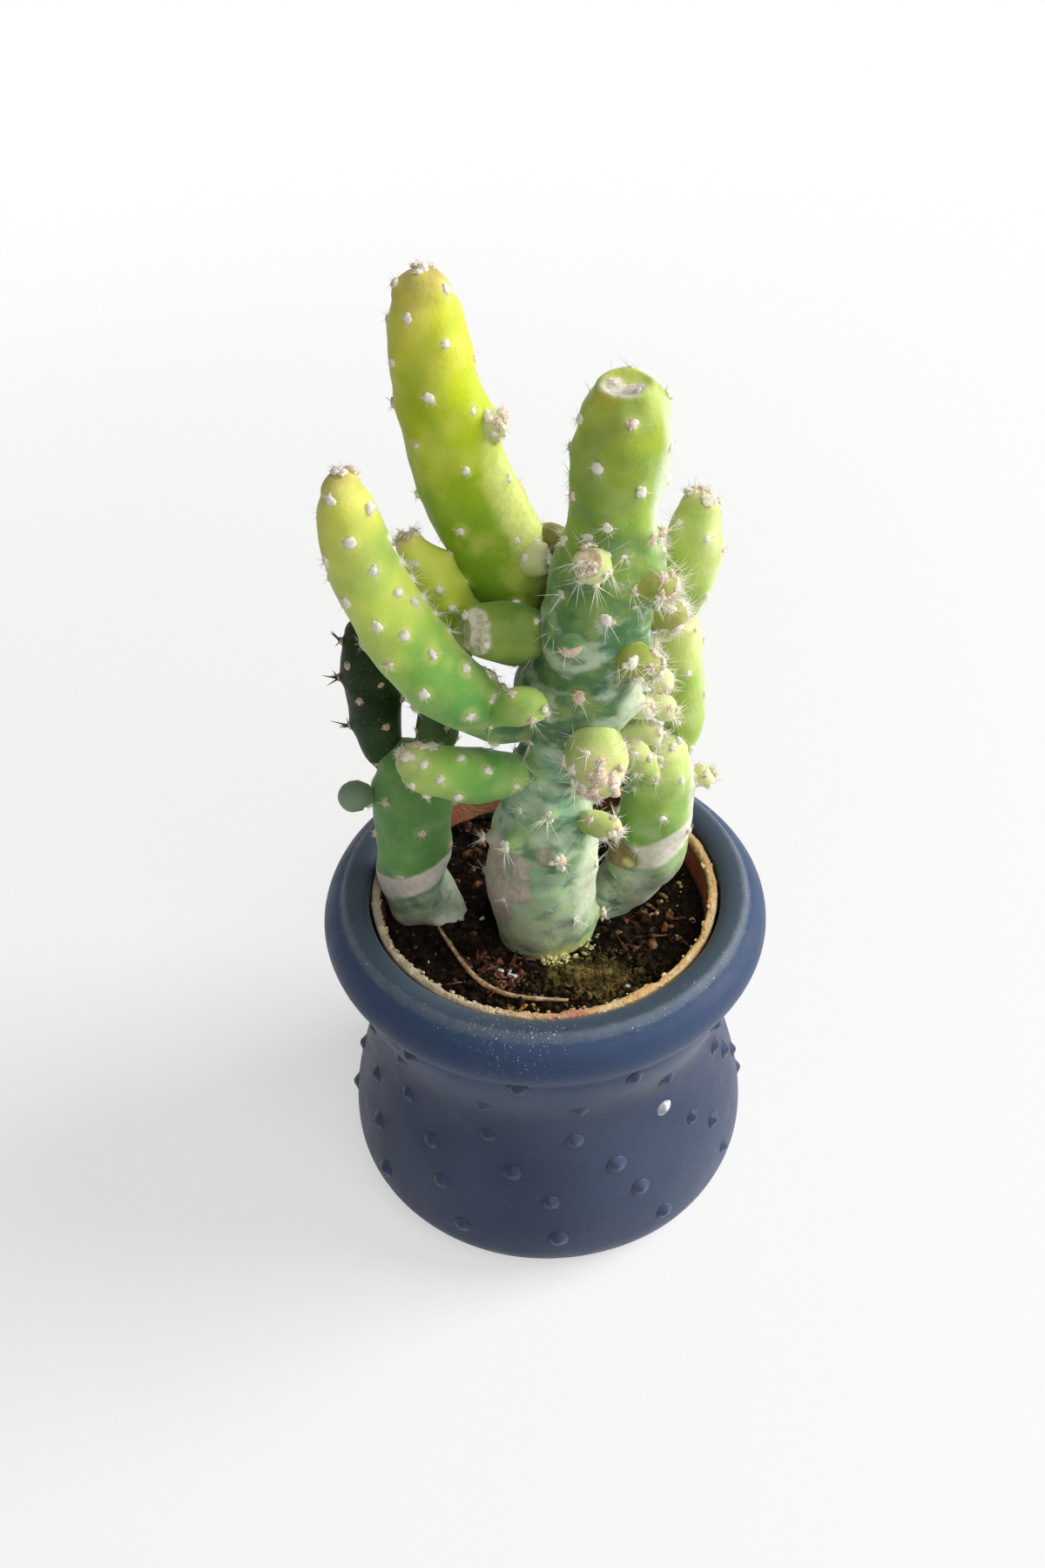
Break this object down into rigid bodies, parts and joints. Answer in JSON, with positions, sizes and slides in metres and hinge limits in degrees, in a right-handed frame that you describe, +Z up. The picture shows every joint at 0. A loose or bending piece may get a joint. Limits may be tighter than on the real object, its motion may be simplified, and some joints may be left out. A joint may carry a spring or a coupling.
{
  "type": "potted opuntia",
  "caption": "Small many-branched cylindrical opuntia with woolly areoles, in a thin nursery pot of peat set in a round collared cover pot with raised nubs.",
  "frame": {"origin": "centre of the cover pot's flat base, on the surface it stands on", "axes": "+Z up, -Y towards the front, +X to the viewer's right"},
  "size_m": [0.0832, 0.0832, 0.1852],
  "materials": {
    "cover_pot": "satin",
    "nursery_pot": "matte",
    "soil": "matte",
    "dry_grass": "matte",
    "old_stem": "satin",
    "young_stem": "satin",
    "fresh_stem": "satin",
    "shaded_stem": "satin",
    "bud": "satin"
  },
  "bodies": {
    "root": {"outer_pot": "cover_pot", "inner_pot": "nursery_pot", "soil": "soil", "straw": "dry_grass", "trunk": "old_stem", "left_base_stem": "old_stem", "round_pup": "old_stem", "scarred_bud": "old_stem", "tall_stem": "young_stem", "left_arm": "young_stem", "back_finger": "young_stem", "cut_stub": "fresh_stem", "side_pup": "fresh_stem", "right_base_stem": "fresh_stem", "right_mid_stem": "fresh_stem", "right_top_stem": "fresh_stem", "dark_stem": "shaded_stem", "back_stem": "shaded_stem", "front_pup": "bud", "low_pup": "bud", "left_arm_pup": "bud", "right_nub": "bud", "lobe_bud": "bud", "tall_stem_bud": "bud", "tall_stem_stub": "bud", "back_bud": "bud", "crown_bud": "bud", "upper_right_bud": "bud", "mid_right_bud": "bud", "olive_bud": "bud", "pale_bud_1": "bud", "pale_bud_2": "bud", "pale_bud_3": "bud", "pale_bud_4": "bud"}
  },
  "joints": []
}
